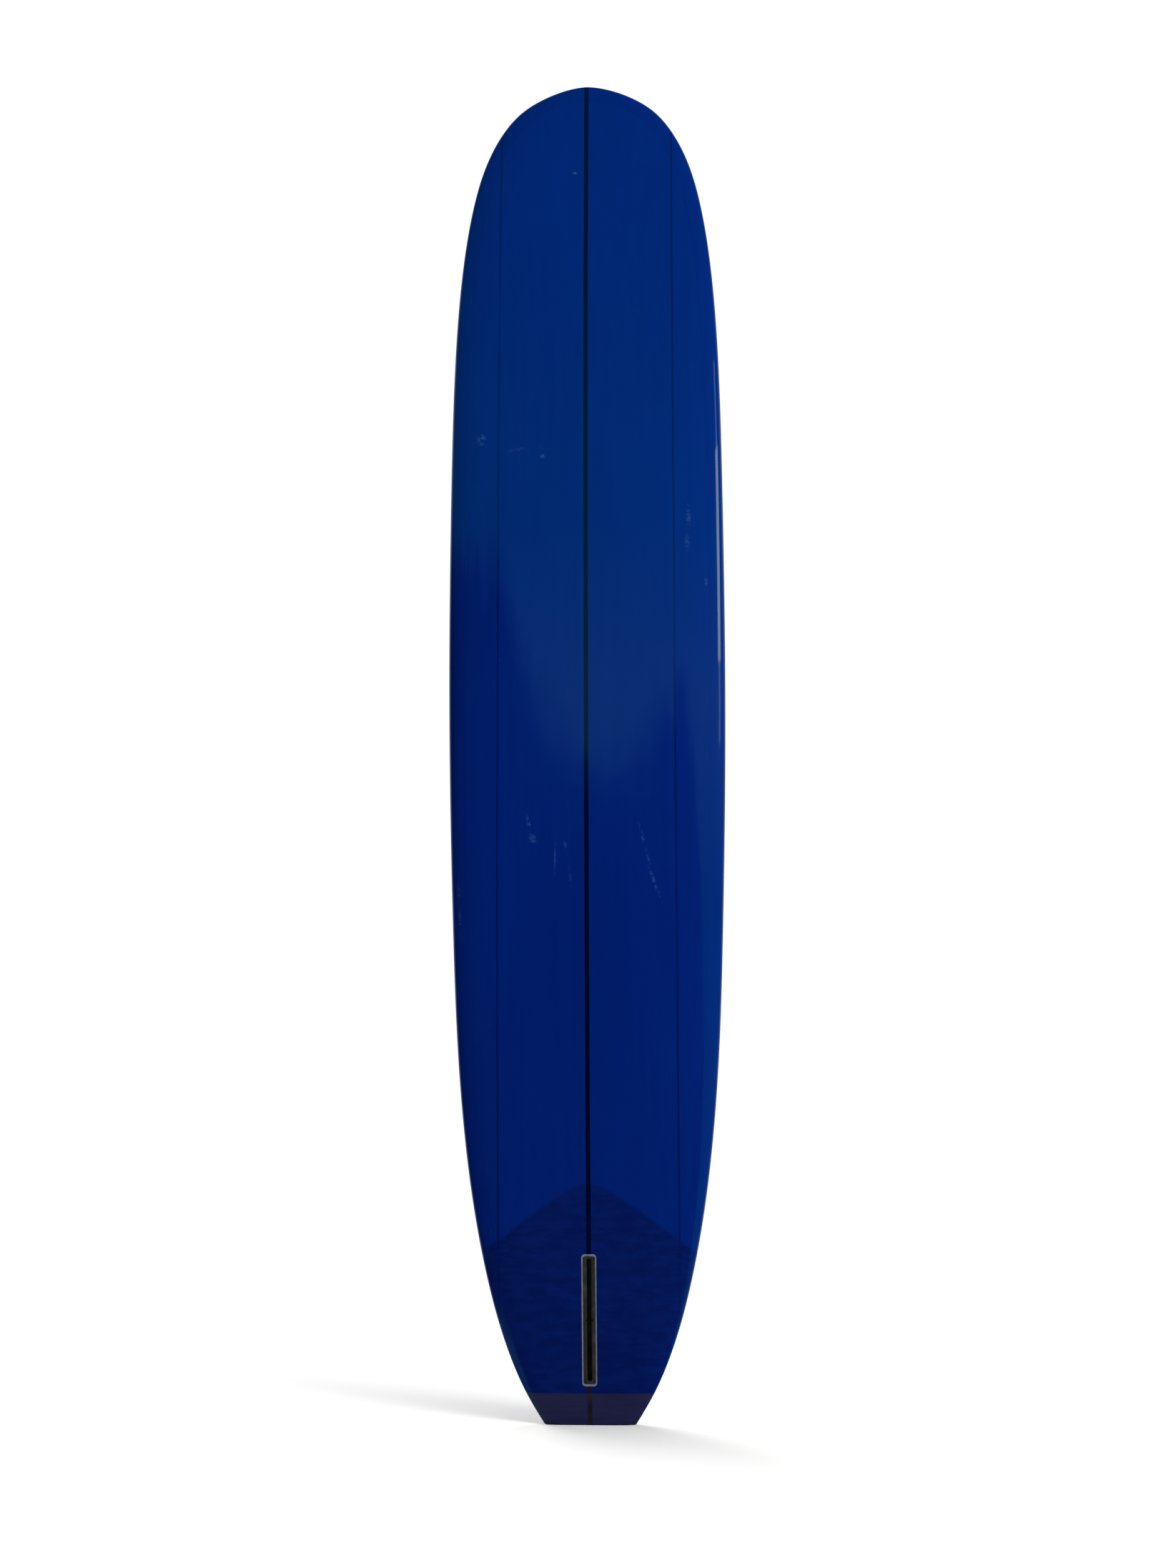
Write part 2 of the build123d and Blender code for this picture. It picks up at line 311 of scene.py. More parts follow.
def bottom_glass():
    """The bottom laminate: the whole bottom, round the rails and 45 mm onto the deck."""
    distance = rows()
    half = half_width(distance)
    x = columns(half, full_at=120, outer=RAIL_COLUMNS, curve=lambda t: np.sin(np.pi / 2 * t))
    z = np.broadcast_to((LENGTH - distance)[:, None], x.shape)
    bm = bmesh.new()
    grid_mesh(bm, x, surface_y(x, z, False), z)
    edge_x, edge_z = lap_edge(distance)
    share = (np.arange(LAP_COLUMNS + 1) / LAP_COLUMNS)[None, :]**2
    band_x = half[:, None] + (edge_x - half)[:, None] * share
    band_z = z[:, :1] + (edge_z[:, None] - z[:, :1]) * share
    band_y = surface_y(band_x, band_z, True)
    band_y[:, 0] = rail_line(z[:, 0])
    for side in (-1, 1):
        grid_mesh(bm, side * band_x, band_y, band_z)
    bmesh.ops.remove_doubles(bm, verts=bm.verts, dist=SAME_PLACE)
    low, high = FINE_ROWS

    def in_window(p):
        beside_box = abs(p.x) < BOX_WINDOW * MM and low * MM < p.z < high * MM
        return beside_box and p.y < rail_line(p.z / MM) * MM

    ring = [in_bottom(u, v, 0) for u, v in rounded_rectangle(POT[0], POT[1], POT_CORNER, POT_CORNER,
                                                            SIDE_STATIONS)]
    cut_window(bm, in_window, ring)
    return finish_sheet(bm, "bottom_glass")


def deck_glass():
    """The deck laminate, inside the bottom laminate's lap."""
    distance = rows()
    edge_x, edge_z = lap_edge(distance)
    x = columns(edge_x, full_at=75, outer=DECK_COLUMNS, curve=lambda t: t)
    z = np.broadcast_to(edge_z[:, None], x.shape)
    bm = bmesh.new()
    grid_mesh(bm, x, surface_y(x, z, True), z)
    bmesh.ops.remove_doubles(bm, verts=bm.verts, dist=SAME_PLACE)
    (left, right), (low, high) = PLUG_WINDOW

    def in_window(p):
        return left * MM < p.x < right * MM and low * MM < p.z < high * MM

    ring = [in_deck(PLUG_POT[0], math.tau * i / 40, 0) for i in range(40)]
    cut_window(bm, in_window, ring)
    return finish_sheet(bm, "deck_glass")


def finish_sheet(bm, name):
    """Turns a sheet of the hull's surface to face outwards, then gives it the laminate's thickness."""

    def from_middle(face):
        place = face.calc_center_median()
        return abs(place.z - FLAT_SPOT * MM) + abs(place.x)

    bmesh.ops.recalc_face_normals(bm, faces=bm.faces)
    central = min(bm.faces, key=from_middle)
    place = central.calc_center_median()
    outwards = 1 if place.y > rail_line(place.z / MM) * MM else -1
    if central.normal.y * outwards < 0:
        bmesh.ops.reverse_faces(bm, faces=bm.faces)
    piece = as_object(bm, name)
    thicken(piece, SKIN)
    mark_hull(piece)
    return piece


# ---- the tail block ----

def tail_block(name, low, high):
    """One wooden piece of the tail block, between two upright planes, with a rounded end."""
    round_edge = 2.2
    heights = [0, 0.15, 0.6, 1.3, round_edge, 8, 16, 26, 38, 52, BLOCK]
    bm = bmesh.new()
    bottom, deck = [], []
    for height in heights:
        lift = max(round_edge - height, 0)
        pulled = round_edge - math.sqrt(round_edge**2 - lift**2)
        distance = LENGTH - height
        half = half_width(distance) - pulled
        reach = [np.clip(edge, -half, half) for edge in (low, high)]
        turns = np.linspace(*np.arcsin(np.array(reach) / half), 28)
        x = half * np.sin(turns)
        under = RAIL_LEVEL * thickness(distance) - pulled
        over = (1 - RAIL_LEVEL) * thickness(distance) - pulled
        across = np.minimum(np.abs(x) / half, 1)
        bottom.append((x, rail_line(height) - under * np.sqrt(1 - across**BOTTOM_FLATNESS), height))
        deck.append((x, rail_line(height) + over * np.sqrt(1 - across**DECK_FLATNESS), height))

    def lay(lines):
        x = np.array([line[0] for line in lines])
        y = np.array([line[1] for line in lines])
        z = np.array([np.full(len(line[0]), float(line[2])) for line in lines])
        grid_mesh(bm, x, y, z)

    lay(bottom)
    lay(deck)
    lay([bottom[0], deck[0]])
    lay([bottom[-1], deck[-1]])
    for end in (0, -1):
        across = [[(line[0][end], line[1][end], line[2]) for line in side] for side in (bottom, deck)]
        points = np.array(across)
        grid_mesh(bm, points[:, :, 0], points[:, :, 1], points[:, :, 2])
    bmesh.ops.remove_doubles(bm, verts=bm.verts, dist=SAME_PLACE)
    bmesh.ops.dissolve_degenerate(bm, edges=bm.edges, dist=SAME_PLACE)
    return finish_mesh(bm, name, 50)


# ---- the fin box ----

def loft(bm, loops, closed=False):
    """Joins closed loops of the same number of points with quads, and caps the ends unless closed."""
    made = [[bm.verts.new(p) for p in loop] for loop in loops]
    pairs = list(zip(made, made[1:] + ([made[0]] if closed else [])))
    for first, second in pairs:
        for i in range(len(first)):
            quad = (first[i - 1], first[i], second[i], second[i - 1])
            bm.faces.new(quad)
    if not closed:
        bm.faces.new(made[0])
        bm.faces.new(reversed(made[-1]))


def slot_side(grow, track, notch):
    """One long side of the slot, rising, with the tracks or the pin's notch opened beside it."""
    half = SLOT[1] / 2
    track_end, notch_end = TRACK[0] / 2, NOTCH[0] / 2
    wide = TRACK[1] / 2 if track else half
    opened = NOTCH[1] / 2 if notch else wide
    below = [u for u in SIDE_STATIONS if u < -notch_end - 1]
    above = [u for u in SIDE_STATIONS if u > notch_end + 1]
    side = [(-track_end, half), (-track_end, wide)] + [(u, wide) for u in below]
    side += [(-notch_end - grow, wide), (-notch_end - grow, opened)]
    side += [(notch_end + grow, opened), (notch_end + grow, wide)]
    side += [(u, wide) for u in above] + [(track_end, wide), (track_end, half)]
    return [(u, v + grow) for u, v in side]


def slot_loop(grow, track, notch):
    """The whole outline of the slot, grown by some mm: square at the nose end and round at the tail end."""
    length, width, _ = SLOT
    side = slot_side(grow, track, notch)
    ends = rounded_rectangle(length + 2 * grow, width + 2 * grow, width / 2 + grow, 1 + grow, [])
    one_end = 2 * (CORNER_STEPS + 1)
    return side + ends[:one_end] + [(u, -v) for u, v in reversed(side)] + ends[one_end:]


def box_loop(length, width, corner, grow):
    """A rounded rectangle with the same number of points as slot_loop, grown by some mm."""
    stations = [u for u, _ in slot_side(0, False, False)]
    return rounded_rectangle(length + 2 * grow, width + 2 * grow, corner + grow, corner + grow, stations)


def fin_box():
    """The moulded box: a flat top a hair below the glass, and a slot with side tracks for the fin."""
    length, width, depth = BOX
    down = 0.45
    deep = TRACK_DOWN + TRACK[2]

    def edge(grow):
        return box_loop(length, width, BOX_CORNER, grow)

    levels = [(edge(0), depth), (edge(0), 0.9), (edge(-0.25), 0.65), (edge(-0.8), down),
              (slot_loop(0.9, False, True), down), (slot_loop(0.3, False, True), 0.7),
              (slot_loop(0, False, True), 1.3), (slot_loop(0, False, True), TRACK_DOWN),
              (slot_loop(0, True, True), TRACK_DOWN), (slot_loop(0, True, True), deep),
              (slot_loop(0, False, False), deep), (slot_loop(0, False, False), SLOT[2])]
    bm = bmesh.new()
    loft(bm, [[in_bottom(u, v, d) for u, v in outline] for outline, d in levels])
    return finish_mesh(bm, "fin_box_body", 30)


def fin_box_bed():
    """The ring of resin that the box is set in, with a fine groove to the box."""
    outer, inner = POT[:2], BOX[:2]
    levels = [(box_loop(*outer, POT_CORNER, 0), POT[2]), (box_loop(*outer, POT_CORNER, 0), 0.25),
              (box_loop(*outer, POT_CORNER, -0.3), 0.02), (box_loop(*inner, BOX_CORNER, 0.7), 0.0),
              (box_loop(*inner, BOX_CORNER, 0.25), 0.2), (box_loop(*inner, BOX_CORNER, 0.02), 0.8),
              (box_loop(*inner, BOX_CORNER, 0.02), POT[2])]
    bm = bmesh.new()
    loft(bm, [[in_bottom(u, v, d) for u, v in outline] for outline, d in levels], closed=True)
    return finish_mesh(bm, "fin_box_bed", 30)


# ---- the leash plug ----

def turned(name, profile):
    """A piece turned round the leash plug's middle, from (radius, depth) points that start and end on it."""
    bm = bmesh.new()
    turns = [math.tau * i / TURN_STEPS for i in range(TURN_STEPS)]
    loft(bm, [[in_deck(max(radius, 0.01), turn, depth) for turn in turns] for radius, depth in profile])
    return finish_mesh(bm, name, 35)


def plug_cup():
    """The leash plug's moulded cup, open at the deck, with a flat rim."""
    rim, rim_deep = PLUG_RIM
    cup, deep = PLUG_CUP
    bore, bore_deep = PLUG_BORE
    return turned("plug_cup", [(0, deep), (cup - 1, deep), (cup, deep - 1), (cup, rim_deep), (rim, rim_deep),
                               (rim, 0.5), (rim - 0.2, 0.15), (rim - 0.7, 0), (bore + 1.2, 0),
                               (bore + 0.5, 0.15), (bore + 0.1, 0.6), (bore, 1.2), (bore, bore_deep - 1),
                               (bore - 1, bore_deep), (0, bore_deep)])


def plug_bed():
    """The cast resin that the cup is set in."""
    rim, rim_deep = PLUG_RIM
    cup, deep = PLUG_CUP
    pot, pot_deep = PLUG_POT
    return turned("plug_bed", [(0, pot_deep), (pot, pot_deep), (pot, 0.2), (pot - 0.2, 0.02), (rim + 0.4, 0),
                               (rim + 0.1, 0.15), (rim + 0.02, 0.6), (rim + 0.02, rim_deep),
                               (cup + 0.02, rim_deep), (cup + 0.02, deep + 0.02), (0, deep + 0.02)])


def plug_pin():
    """The steel bar across the plug that the leash cord is tied to."""
    radius, reach = PLUG_PIN
    middle = in_deck(0, 0, PLUG_PIN_DOWN)
    profile = [(-reach / 2, 0.6), (-reach / 2, 0.9), (-reach / 2 + 0.3, 1.0), (reach / 2 - 0.3, 1.0),
               (reach / 2, 0.9), (reach / 2, 0.6)]
    turns = [math.tau * i / PIN_STEPS for i in range(PIN_STEPS)]
    circle = [(math.cos(turn), math.sin(turn)) for turn in turns]
    bm = bmesh.new()
    loft(bm, [[middle + Vector((along, radius * size * y, radius * size * z)) * MM for y, z in circle]
              for along, size in profile])
    return finish_mesh(bm, "plug_pin", 35)


# ---- materials ----

class Nodes:
    """A node tree, with short names for the nodes that the materials and the studio share."""

    def __init__(self, tree):
        self.tree = tree
        self.new = tree.nodes.new

    def put(self, value, socket):
        if isinstance(value, bpy.types.NodeSocket):
            self.tree.links.new(value, socket)
        else:
            socket.default_value = value

    def put_colour(self, value, socket):
        self.put(value if isinstance(value, bpy.types.NodeSocket) else (*value, 1.0), socket)

    def math(self, operation, a, b=0.0, clamp=False):
        node = self.new("ShaderNodeMath")
        node.operation = operation
        node.use_clamp = clamp
        self.put(a, node.inputs[0])
        self.put(b, node.inputs[1])
        return node.outputs[0]

    def add(self, a, b):
        return self.math("ADD", a, b)

    def times(self, *factors):
        product = factors[0]
        for factor in factors[1:]:
            product = self.math("MULTIPLY", product, factor)
        return product

    def most(self, *values):
        highest = values[0]
        for value in values[1:]:
            highest = self.math("MAXIMUM", highest, value)
        return highest

    def turn_down(self, value):
        return self.math("SUBTRACT", 1.0, value)

    def fade(self, value, low, high, start=0.0, end=1.0):
        """start below low, end above high, and a smooth change between."""
        node = self.new("ShaderNodeMapRange")
        node.interpolation_type = "SMOOTHSTEP"
        self.put(value, node.inputs["Value"])
        node.inputs["From Min"].default_value = low
        node.inputs["From Max"].default_value = high
        node.inputs["To Min"].default_value = start
        node.inputs["To Max"].default_value = end
        return node.outputs[0]

    def split(self, vector):
        node = self.new("ShaderNodeSeparateXYZ")
        self.put(vector, node.inputs[0])
        return node.outputs

    def choose(self, share, low, high):
        """A mix of two shaders: low where share is 0 and high where it is 1."""
        node = self.new("ShaderNodeMixShader")
        for value, socket in zip((share, low, high), node.inputs):
            self.put(value, socket)
        return node.outputs[0]


class Finish(Nodes):
    """A material's node tree. Lengths in it are millimetres."""

    def __init__(self, name, roughness=0.5, coat=0.0, coat_roughness=0.05, specular=0.5, metallic=0.0):
        self.material = bpy.data.materials.new(name)
        self.material.use_nodes = True
        super().__init__(self.material.node_tree)
        self.shader = self.tree.nodes["Principled BSDF"]
        self.shader.inputs["Roughness"].default_value = roughness
        self.shader.inputs["Coat Weight"].default_value = coat
        self.shader.inputs["Coat Roughness"].default_value = coat_roughness
        self.shader.inputs["Specular IOR Level"].default_value = specular
        self.shader.inputs["Metallic"].default_value = metallic
        self.place = self.vector("SCALE", self.new("ShaderNodeTexCoord").outputs["Object"], scale=1 / MM)
        self.x, self.y, self.z = self.split(self.place)

    def vector(self, operation, a, b=None, scale=None):
        node = self.new("ShaderNodeVectorMath")
        node.operation = operation
        self.put(a, node.inputs[0])
        if b is not None:
            self.put(b, node.inputs[1])
        if scale is not None:
            self.put(scale, node.inputs["Scale"])
        return node.outputs[0]

    def noise(self, size, detail=3.0, rough=0.5, bend=0.0):
        """Noise whose lumps are about size mm: one number, or one for each of x, y and z."""
        sizes = size if isinstance(size, tuple) else (size, size, size)
        node = self.new("ShaderNodeTexNoise")
        self.put(self.vector("MULTIPLY", self.place, tuple(1 / s for s in sizes)), node.inputs["Vector"])
        node.inputs["Scale"].default_value = 1.0
        node.inputs["Detail"].default_value = detail
        node.inputs["Roughness"].default_value = rough
        node.inputs["Distortion"].default_value = bend
        return node.outputs[0]

    def cells(self, size):
        """The distance from the middle of cells of about size mm."""
        node = self.new("ShaderNodeTexVoronoi")
        self.put(self.vector("SCALE", self.place, scale=1 / size), node.inputs["Vector"])
        node.inputs["Scale"].default_value = 1.0
        return node.outputs["Distance"]

    def attribute(self, name):
        node = self.new("ShaderNodeAttribute")
        node.attribute_name = name
        return node.outputs["Fac"]

    def blend(self, share, low, high):
        """A colour between low and high."""
        node = self.new("ShaderNodeMix")
        node.data_type = "RGBA"
        self.put(share, node.inputs[0])
        self.put_colour(low, node.inputs[6])
        self.put_colour(high, node.inputs[7])
        return node.outputs[2]

    def bump(self, height, distance, strength, coat=False):
        """Relief from a height of 0 to 1 that stands for distance mm."""
        node = self.new("ShaderNodeBump")
        node.inputs["Strength"].default_value = strength
        node.inputs["Distance"].default_value = distance * MM
        self.put(height, node.inputs["Height"])
        self.put(node.outputs[0], self.shader.inputs["Coat Normal" if coat else "Normal"])

    def colour(self, value):
        self.put(value, self.shader.inputs["Base Color"])

    def rough(self, value):
        self.put(value, self.shader.inputs["Roughness"])


BLUE = (0.0006, 0.0122, 0.131)
DEEP_BLUE = (0.0004, 0.009, 0.107)
PATCH_BLUE = (0.0008, 0.0052, 0.06)
PATCH_LIGHT_BLUE = (0.0013, 0.0085, 0.085)
PATCH_EDGE_BLUE = (0.0005, 0.0035, 0.045)
LAP_BLUE = (0.0004, 0.0055, 0.082)
LAP_LINE_BLUE = (0.0003, 0.004, 0.06)
STRINGER_BLUE = (0.0002, 0.0009, 0.0105)
STRINGER_LIGHT_BLUE = (0.0009, 0.0022, 0.017)
STRINGER_FOOT = (0.013, 0.0075, 0.013)
SIDE_LINE_BLUE = (0.0006, 0.0035, 0.046)
SCUFF_BLUE = (0.05, 0.13, 0.29)

SIDE_STRINGER_X = 187.4
STRINGER_FOOT_AT = (74, 92)       # heights between which the stringer's brown foot fades out
PATCH_TOP = 524.0                 # where the patch's two straight edges would meet
PATCH_FALL = 0.773                # how steeply they fall to each side
PATCH_ROUND = 45.0                # how far out its rounded top reaches
BOTTOM_LAP = 33.0                 # how far inside the outline the bottom's darker rail band reaches
WEAVE = 1.3                       # the laminate cloth's repeat

# wear on the bottom: x, z, half width, half length (mm), lean (degrees from upright), strength
MARKS = [(-20, 2685, 13, 4, 12, 1.0), (219, 1893, 7, 34, 3, 0.3), (216, 1835, 8, 26, -2, 0.25),
         (255, 1750, 5, 12, 0, 0.3), (-121, 1235, 5, 26, 12, 0.55), (-112, 1205, 10, 14, 40, 0.35),
         (-44, 1186, 6, 20, 8, 0.3), (-66, 1168, 3, 52, -2, 0.3), (-34, 1120, 3, 44, 5, 0.2),
         (120, 1196, 5, 62, 15, 0.35), (143, 1110, 5, 52, 21, 0.3), (-224, 2070, 16, 22, 35, 0.35),
         (-150, 2045, 24, 6, 14, 0.25), (-92, 2030, 9, 7, 0, 0.5), (-268, 1060, 5, 80, 3, 0.25)]


def wear(f):
    """How scuffed each place on the bottom is: faint broken strokes at the marks, and hairlines in places."""
    grain = f.times(f.fade(f.noise(2.2, 4, 0.7), 0.4, 0.6), f.fade(f.noise(9, 3, 0.6), 0.42, 0.58))
    total = 0.0
    for x, z, across, along, lean, strength in MARKS:
        turn = math.radians(lean)
        dx, dz = f.add(f.x, -x), f.add(f.z, -z)
        side = f.add(f.times(dx, math.cos(turn) / across), f.times(dz, math.sin(turn) / across))
        up = f.add(f.times(dz, math.cos(turn) / along), f.times(dx, -math.sin(turn) / along))
        away = f.math("SQRT", f.add(f.times(side, side), f.times(up, up)))
        total = f.add(total, f.fade(away, 0.25, 1.0, strength, 0.0))
    strokes = f.fade(f.noise((0.9, 30, 45), 2, 0.5, 0.4), 0.69, 0.74)
    patches = f.fade(f.noise(260, 2), 0.52, 0.66)
    return f.math("ADD", f.times(total, grain), f.times(strokes, patches, 0.16), clamp=True)


def show_lap(f, tint, inside, under, drift):
    """The darker band where the two laminates lie over each other, with its fine edge line."""
    lap = f.fade(f.add(inside, f.times(drift, 3.0)), BOTTOM_LAP - 1.0, BOTTOM_LAP + 1.0, 1.0, 0.0)
    on_deck = f.turn_down(under)
    lap = f.most(f.times(lap, under), on_deck)
    tint = f.blend(f.times(lap, f.add(f.times(on_deck, 0.3), 0.12)), tint, LAP_BLUE)
    line = f.fade(f.math("ABSOLUTE", f.add(inside, -BOTTOM_LAP)), 0.4, 2.0, 0.2, 0.0)
    return f.blend(f.times(line, under), tint, LAP_LINE_BLUE)


def show_patch(f, tint, inside, under):
    """The cloth patch round the fin box, with a frayed edge: the new tint, where it is, and its relief."""
    round_top = f.math("SQRT", f.add(f.times(f.x, f.x), PATCH_ROUND**2))
    above = f.add(f.z, f.add(f.times(round_top, PATCH_FALL), -PATCH_TOP))
    frayed = f.add(above, f.times(f.add(f.noise(7, 3), -0.5), 5.0))
    patch = f.times(f.fade(frayed, -7.0, 6.0, 1.0, 0.0), under, f.fade(inside, 0, 9))
    mottle = f.fade(f.noise((44, 44, 16), 4, 0.66), 0.4, 0.62)
    weft = f.fade(f.noise((60, 60, 6), 2, 0.5), 0.4, 0.68)
    patch_tint = f.blend(f.add(f.times(mottle, 0.7), f.times(weft, 0.3)), PATCH_BLUE, PATCH_LIGHT_BLUE)
    tint = f.blend(f.times(patch, 0.92), tint, patch_tint)
    edge = f.fade(f.math("ABSOLUTE", frayed), 0.5, 9.0, 0.16, 0.0)
    tint = f.blend(f.times(edge, under), tint, PATCH_EDGE_BLUE)
    return tint, patch, f.add(f.times(patch, 0.35), f.times(mottle, patch, 0.05))


def show_stringers(f, tint, patch, drift):
    """The three stringers: fine lines at the sides, which the patch half hides, and the wide wooden one."""
    width = f.math("ABSOLUTE", f.x)
    away = f.math("ABSOLUTE", f.add(f.add(width, -SIDE_STRINGER_X), drift))
    strength = f.fade(f.noise((40, 40, 160), 2), 0.2, 0.6, 0.4, 0.72)
    side_line = f.times(f.fade(away, 1.3, 3.0, 1.0, 0.0), strength, f.fade(patch, 0, 1, 1.0, 0.45))
    tint = f.blend(side_line, tint, SIDE_LINE_BLUE)
    grain = f.fade(f.noise((0.8, 3, 90), 3, 0.6), 0.35, 0.7)
    wood = f.blend(grain, STRINGER_BLUE, STRINGER_LIGHT_BLUE)
    wood = f.blend(f.fade(f.z, *STRINGER_FOOT_AT, 0.75, 0.0), wood, STRINGER_FOOT)
    centre = f.fade(f.add(width, drift), STRINGER / 2 - 0.7, STRINGER / 2 + 0.5, 1.0, 0.0)
    return f.blend(centre, tint, wood)


def blue_glass(name, bottom):
    """Tinted polyester glass over foam, with a polished gloss coat. Its stringers show through it."""
    f = Finish(name, roughness=0.42, coat=1.0, coat_roughness=0.045, specular=0.0)
    drift = f.times(f.add(f.noise((9, 9, 60), 2), -0.5), 0.7)
    cloud = f.fade(f.noise((320, 320, 700), 3, 0.55), 0.3, 0.7)
    streak = f.fade(f.noise((14, 14, 420), 3, 0.6), 0.25, 0.75)
    tint = f.blend(f.add(f.times(cloud, 0.55), f.times(streak, 0.35)), DEEP_BLUE, BLUE)
    warp = f.math("SINE", f.times(f.x, math.tau / WEAVE))
    height = f.times(warp, f.math("SINE", f.times(f.z, math.tau / WEAVE)), 0.02)
    patch = 0.0
    if bottom:
        inside, under = f.attribute("inside"), f.attribute("under")
        tint = show_lap(f, tint, inside, under, drift)
        tint, patch, relief = show_patch(f, tint, inside, under)
        height = f.add(height, relief)
    tint = show_stringers(f, tint, patch, drift)
    if bottom:
        worn = f.times(wear(f), under)
        tint = f.blend(worn, tint, SCUFF_BLUE)
        height = f.add(height, f.times(worn, -0.05))
        f.rough(f.add(f.times(worn, 0.25), 0.42))
    f.colour(tint)
    f.bump(height, 0.8, 0.6)
    f.bump(f.add(f.noise((150, 150, 260), 2, 0.45), f.times(f.noise(34, 2, 0.5), 0.05)), 1.6, 0.5, coat=True)
    return f.material


def block_wood(name, dark, light, ring):
    """Stained wood under clear glass, its grain running across the tail."""
    f = Finish(name, roughness=0.4, coat=0.8, coat_roughness=0.08, specular=0.2)
    bands = f.noise((130, 60, ring), 4, 0.6, 0.4)
    pores = f.fade(f.noise((22, 6, 0.7), 3, 0.6), 0.55, 0.75)
    tint = f.blend(f.fade(bands, 0.3, 0.7), dark, light)
    tint = f.blend(f.times(pores, 0.45), tint, tuple(c * 0.5 for c in dark))
    f.colour(tint)
    f.rough(f.add(f.times(bands, 0.1), 0.36))
    f.bump(f.add(f.times(bands, 0.4), f.times(pores, -0.3)), 0.12, 0.5)
    return f.material


def moulded_plastic(name, dark, light):
    """Fine-textured moulded plastic with dust and rub marks."""
    f = Finish(name, roughness=0.45, specular=0.35)
    dust = f.fade(f.noise(18, 4, 0.6), 0.45, 0.75)
    texture = f.noise(0.7, 2, 0.6)
    rub = f.fade(f.noise((1.2, 8, 26), 3, 0.6), 0.62, 0.72)
    tint = f.blend(f.add(f.times(dust, 0.5), f.times(rub, 0.4)), dark, light)
    f.colour(tint)
    f.rough(f.add(f.times(dust, 0.2), 0.4))
    f.bump(f.add(texture, f.times(rub, -0.4)), 0.12, 0.5)
    return f.material


def cast_resin(name, low, high):
    """Cloudy potting resin, sanded flush, with pin holes and trapped bubbles."""
    f = Finish(name, roughness=0.5, coat=0.5, coat_roughness=0.15, specular=0.4)
    cloud = f.fade(f.noise(14, 4, 0.65), 0.3, 0.7)
    bubbles = f.fade(f.cells(3.5), 0.06, 0.16, 1.0, 0.0)
    fine = f.fade(f.noise((1.2, 1.2, 5), 2, 0.5), 0.4, 0.7)
    tint = f.blend(f.add(f.times(cloud, 0.6), f.times(fine, 0.4)), low, high)
    tint = f.blend(f.times(bubbles, 0.5), tint, tuple(c * 0.35 for c in low))
    f.colour(tint)
    f.rough(f.add(f.times(cloud, 0.15), 0.42))
    f.bump(f.add(f.times(cloud, 0.3), f.times(bubbles, -0.6)), 0.15, 0.6)
    return f.material


def brushed_steel(name):
    """Steel with fine lines along the pin and faint stains."""
    f = Finish(name, roughness=0.28, metallic=1.0)
    lines = f.noise((12, 0.25, 0.25), 3, 0.6)
    stain = f.fade(f.noise(3.5, 3, 0.6), 0.5, 0.75)
    f.colour(f.blend(f.times(stain, 0.4), (0.58, 0.58, 0.57), (0.3, 0.27, 0.24)))
    f.rough(f.add(f.times(lines, 0.2), 0.18))
    f.bump(lines, 0.04, 0.5)
    return f.material


def foam(name):
    """Closed-cell polyurethane foam, planed, with fine open cells and faint yellowing."""
    f = Finish(name, roughness=0.9, specular=0.2)
    cell = f.cells(0.9)
    yellow = f.fade(f.noise(120, 3), 0.35, 0.7)
    tint = f.blend(yellow, (0.86, 0.84, 0.78), (0.78, 0.72, 0.56))
    f.colour(f.blend(f.fade(cell, 0.0, 0.5, 0.25, 0.0), tint, (0.5, 0.46, 0.36)))
    f.bump(cell, 0.3, 0.7)
    return f.material


def strip_wood(name, dark, light):
    """A stringer's long straight grain."""
    f = Finish(name, roughness=0.7, specular=0.25)
    bands = f.noise((2.2, 9, 320), 4, 0.6, 0.6)
    pores = f.fade(f.noise((0.5, 0.8, 14), 3, 0.6), 0.56, 0.72)
    tint = f.blend(f.fade(bands, 0.3, 0.7), dark, light)
    f.colour(f.blend(f.times(pores, 0.5), tint, tuple(c * 0.45 for c in dark)))
    f.bump(f.add(bands, f.times(pores, -0.5)), 0.15, 0.6)
    return f.material


def patch_cloth(name):
    """Woven glass cloth wetted out with blue resin."""
    f = Finish(name, roughness=0.5, coat=0.3, coat_roughness=0.2, specular=0.3)
    weft = f.math("SINE", f.times(f.x, math.tau / 1.6))
    warp = f.math("SINE", f.times(f.z, math.tau / 1.6))
    weave = f.fade(f.times(weft, warp), -0.8, 0.8)
    cloud = f.fade(f.noise(40, 3), 0.3, 0.7)
    tint = f.blend(weave, PATCH_BLUE, (0.004, 0.018, 0.13))
    f.colour(f.blend(f.times(cloud, 0.5), tint, (0.002, 0.01, 0.08)))
    f.bump(weave, 0.2, 0.6)
    return f.material


# ---- the stage ----

FLOOR_RADIUS = 14.0               # metres
FLOOR_DOWN = 0.0004               # metres below the tail, so that the two faces don't coincide
FLOOR_FADE = (250, 1900)          # distances from the board, in mm, over which the floor turns white

